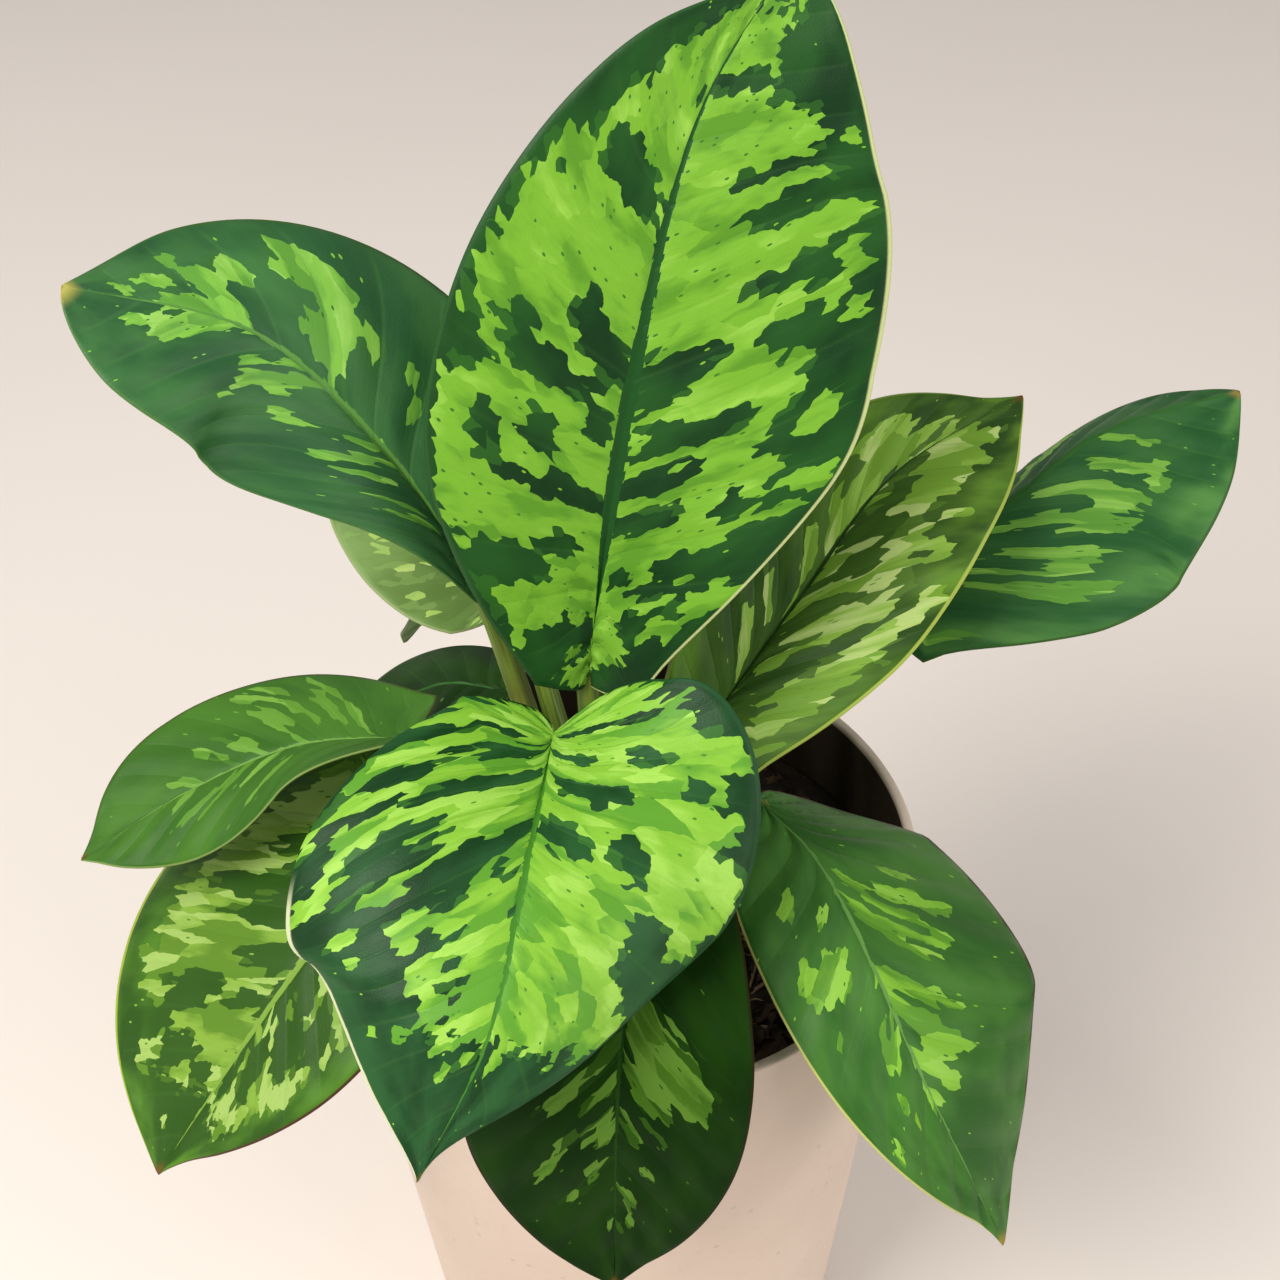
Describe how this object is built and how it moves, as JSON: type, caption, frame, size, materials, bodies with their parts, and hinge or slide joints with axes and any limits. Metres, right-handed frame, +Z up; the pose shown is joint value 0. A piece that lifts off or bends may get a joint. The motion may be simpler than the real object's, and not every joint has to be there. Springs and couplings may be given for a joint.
{
  "type": "potted homalomena",
  "caption": "Leafy house plant with broad pointed leaves, dark green with jagged lime patches, on long stalks in a tall round tapered white pot filled with potting mix.",
  "frame": {"origin": "centre of the pot's flat base, on the surface that it stands on", "axes": "+Z up along the pot's axis, -Y towards the front of the plant, the side from which the tallest leaf shows its upper face, +X to its right seen from the front"},
  "size_m": [0.2542, 0.1987, 0.3602],
  "materials": {
    "pot_shell": "smooth matt white, slightly warm, thin-walled",
    "potting_mix": "dark moist bark and peat mix",
    "stem_green": "olive green, smooth, slightly glossy",
    "leaf_green": "leathery dark green with jagged lime patches, satin sheen"
  },
  "bodies": {
    "root": {"pot": "pot_shell", "soil": "potting_mix", "stem": "stem_green", "leaf_centre": "leaf_green", "leaf_upper_left": "leaf_green", "leaf_front": "leaf_green", "leaf_low_left": "leaf_green", "leaf_left": "leaf_green", "leaf_left_behind": "leaf_green", "leaf_low_front": "leaf_green", "leaf_low_right": "leaf_green", "leaf_right": "leaf_green", "leaf_far_right": "leaf_green", "leaf_back_left": "leaf_green", "leaf_back": "leaf_green", "leaf_low_back": "leaf_green", "leaf_back_right": "leaf_green"}
  },
  "joints": []
}
